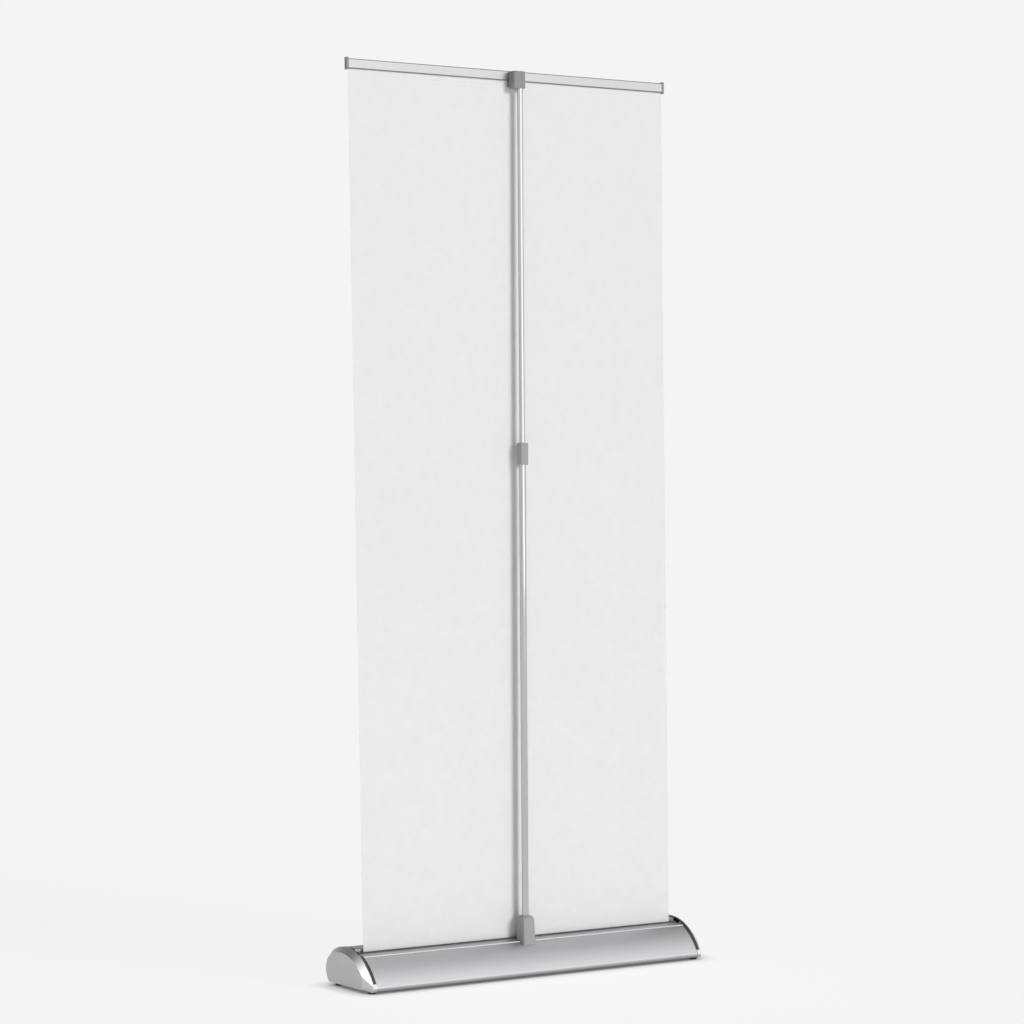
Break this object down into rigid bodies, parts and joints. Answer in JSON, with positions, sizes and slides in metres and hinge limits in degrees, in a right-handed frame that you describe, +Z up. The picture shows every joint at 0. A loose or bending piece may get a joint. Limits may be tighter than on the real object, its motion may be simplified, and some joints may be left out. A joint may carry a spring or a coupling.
{
  "type": "roll-up banner stand",
  "caption": "Free-standing spring-wound banner stand: a wide cassette base, a blank graphic drawn up to a clamp rail, and a telescopic rear pole.",
  "frame": {"origin": "centre of the base's footprint on the floor", "axes": "+Z up; the graphic faces -Y and the pole stands on the +Y side; +X runs along the base, to the right for a viewer in front of the graphic"},
  "size_m": [0.932, 0.216, 2.1061],
  "materials": {
    "extrusion": "satin anodised, fine lengthwise grain",
    "cap_chrome": "polished",
    "gloss_dark": "smooth, glossy dark grey",
    "cap_panel": "satin",
    "tube_chrome": "polished",
    "steel": "zinc plated",
    "moulding": "moulded, satin grey",
    "dark_plastic": "moulded, dark",
    "rubber": "matt",
    "plush": "short pile",
    "graphic": "plain white film, matt"
  },
  "bodies": {
    "base": {"front_shell": "extrusion", "rear_shell": "extrusion", "base_tray": "extrusion", "slot_seal": "plush", "left_end_plate": "steel", "right_end_plate": "steel", "left_plate_screws": "steel", "right_plate_screws": "steel", "left_end_cap": "cap_chrome", "right_end_cap": "cap_chrome", "left_cap_trim": "gloss_dark", "right_cap_trim": "gloss_dark", "left_cap_panel": "cap_panel", "right_cap_panel": "cap_panel", "rubber_feet": "rubber", "spring_shaft": "steel", "torsion_spring": "steel", "spring_anchor": "moulding", "idle_spigot": "steel", "pole_foot": "moulding", "foot_anchor": "steel", "foot_screws": "steel", "lower_tube": "tube_chrome", "tube_foot_plug": "dark_plastic", "lock_collar": "moulding", "clamp_shoe": "dark_plastic", "lever_pin": "steel", "banner_sheet": "graphic"},
    "roller": {"roller_tube": "extrusion", "left_roller_plug": "moulding", "right_roller_plug": "moulding", "leader_strip": "dark_plastic", "wound_banner": "graphic"},
    "upper_pole": {"upper_tube": "tube_chrome", "tube_glide": "dark_plastic", "top_hook": "moulding", "hook_pin": "steel", "rail_profile": "extrusion", "left_rail_cap": "moulding", "right_rail_cap": "moulding"},
    "lever": {"lock_lever": "moulding"},
    "jaw": {"rail_jaw": "extrusion"}
  },
  "joints": [
    {"name": "pole_telescope", "type": "slide", "parent": "base", "child": "upper_pole", "axis": [-0.0096, -0.0035, 0.9999], "range_m": [-0.8, 0], "deforming": ["banner_sheet"]},
    {"name": "roller_spin", "type": "hinge", "parent": "base", "child": "roller", "pos_m": [0, -0.00915, 0.042], "axis": [1, 0, 0], "range_deg": [-2300, 0]},
    {"name": "lever_pivot", "type": "hinge", "parent": "base", "child": "lever", "pos_m": [-0.01715, 0.03466, 1.23885], "axis": [0, 1, 0.0035], "range_deg": [0, 95]},
    {"name": "rail_clamp", "type": "hinge", "parent": "upper_pole", "child": "jaw", "pos_m": [0, 0.0096, 2.1009], "axis": [1, 0, 0], "range_deg": [-35, 0]}
  ],
  "couplings": [
    {"joint": "roller_spin", "follows": "pole_telescope", "rad_per_m": 49}
  ]
}
